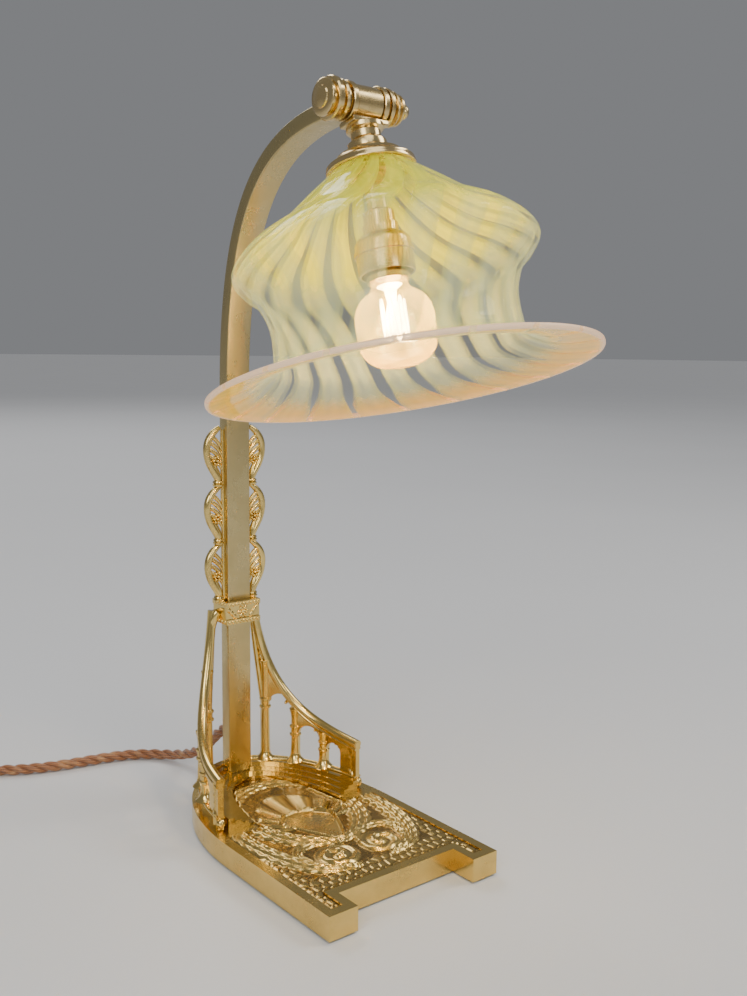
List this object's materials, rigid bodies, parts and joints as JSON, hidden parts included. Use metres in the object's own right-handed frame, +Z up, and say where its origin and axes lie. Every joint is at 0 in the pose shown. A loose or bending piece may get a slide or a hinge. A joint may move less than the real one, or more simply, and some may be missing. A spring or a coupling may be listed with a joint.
{
  "type": "desk lamp",
  "caption": "Brass desk lamp with a notched chased base, fretted gallery, bent square arm, tilting head and hat-shaped striped glass shade.",
  "frame": {"origin": "on the underside of the base, at the middle of its plan", "axes": "+Z up, -Y towards the shade and the notched front of the base, +X to the right of someone who faces the front"},
  "size_m": [0.3478, 0.4204, 0.4177],
  "materials": {
    "cast_brass": "polished cast brass, chased, with darker hollows",
    "drawn_brass": "polished drawn tube, fine lengthwise lines",
    "turned_brass": "turned and polished",
    "steel": "plain",
    "baize": "felted wool",
    "striped_glass": "clear glass with swirled milky stripes, yellow shoulder and frosted peach brim",
    "bulb_glass": "clear, warm",
    "filament": "glowing filament on a glass stem",
    "ceramic": "glazed porcelain",
    "silk_flex": "twisted flex with a braided silk cover",
    "moulded_plug": "moulded, semi-gloss"
  },
  "bodies": {
    "base": {"base_plate": "cast_brass", "baize_pad": "baize", "gallery_wing_right": "cast_brass", "gallery_wing_left": "cast_brass", "gallery_band": "cast_brass", "gallery_back_sill": "cast_brass", "post_arm": "drawn_brass", "inner_lead": "silk_flex", "post_plug": "drawn_brass", "foot_screw": "steel", "foot_washer": "steel", "post_collar": "cast_brass", "side_scroll_right": "cast_brass", "side_scroll_left": "cast_brass", "cord_bush": "moulded_plug", "arm_eye": "drawn_brass", "flex_run": "silk_flex", "flex_coil": "silk_flex", "flex_tail": "silk_flex", "plug_cover": "moulded_plug", "plug_body": "moulded_plug", "plug_pin_earth": "drawn_brass", "plug_pin_live": "drawn_brass", "plug_pin_neutral": "drawn_brass"},
    "shade_head": {"shade_fork": "turned_brass", "pivot_bolt": "steel", "pivot_washer_right": "turned_brass", "pivot_washer_left": "turned_brass", "pivot_knob_left": "turned_brass", "threaded_nipple": "turned_brass", "shade_cap": "turned_brass", "glass_shade": "striped_glass", "shade_ring": "turned_brass", "shade_ring_nut": "turned_brass", "lampholder_cap": "turned_brass", "lampholder_barrel": "turned_brass", "holder_insulator": "ceramic", "bulb_cap": "turned_brass", "bulb_glass": "bulb_glass", "bulb_filament_stem": "filament"},
    "clamp_nut": {"finial_nut": "turned_brass"},
    "left_contact": {"plunger_left": "turned_brass"},
    "right_contact": {"plunger_right": "turned_brass"}
  },
  "joints": [
    {"name": "shade_tilt", "type": "hinge", "parent": "base", "child": "shade_head", "pos_m": [0, -0.0424, 0.4077], "axis": [-1, 0, 0], "range_deg": [-20, 45]},
    {"name": "clamp_turn", "type": "hinge", "parent": "shade_head", "child": "clamp_nut", "pos_m": [0, -0.0424, 0.4077], "axis": [1, 0, 0], "range_deg": [0, 180]},
    {"name": "left_contact_press", "type": "slide", "parent": "shade_head", "child": "left_contact", "axis": [0, 0.2588, 0.9659], "range_m": [0, 0.0015], "stiffness_N_per_m": 400, "springref_m": -0.002},
    {"name": "right_contact_press", "type": "slide", "parent": "shade_head", "child": "right_contact", "axis": [0, 0.2588, 0.9659], "range_m": [0, 0.0015], "stiffness_N_per_m": 400, "springref_m": -0.002}
  ]
}
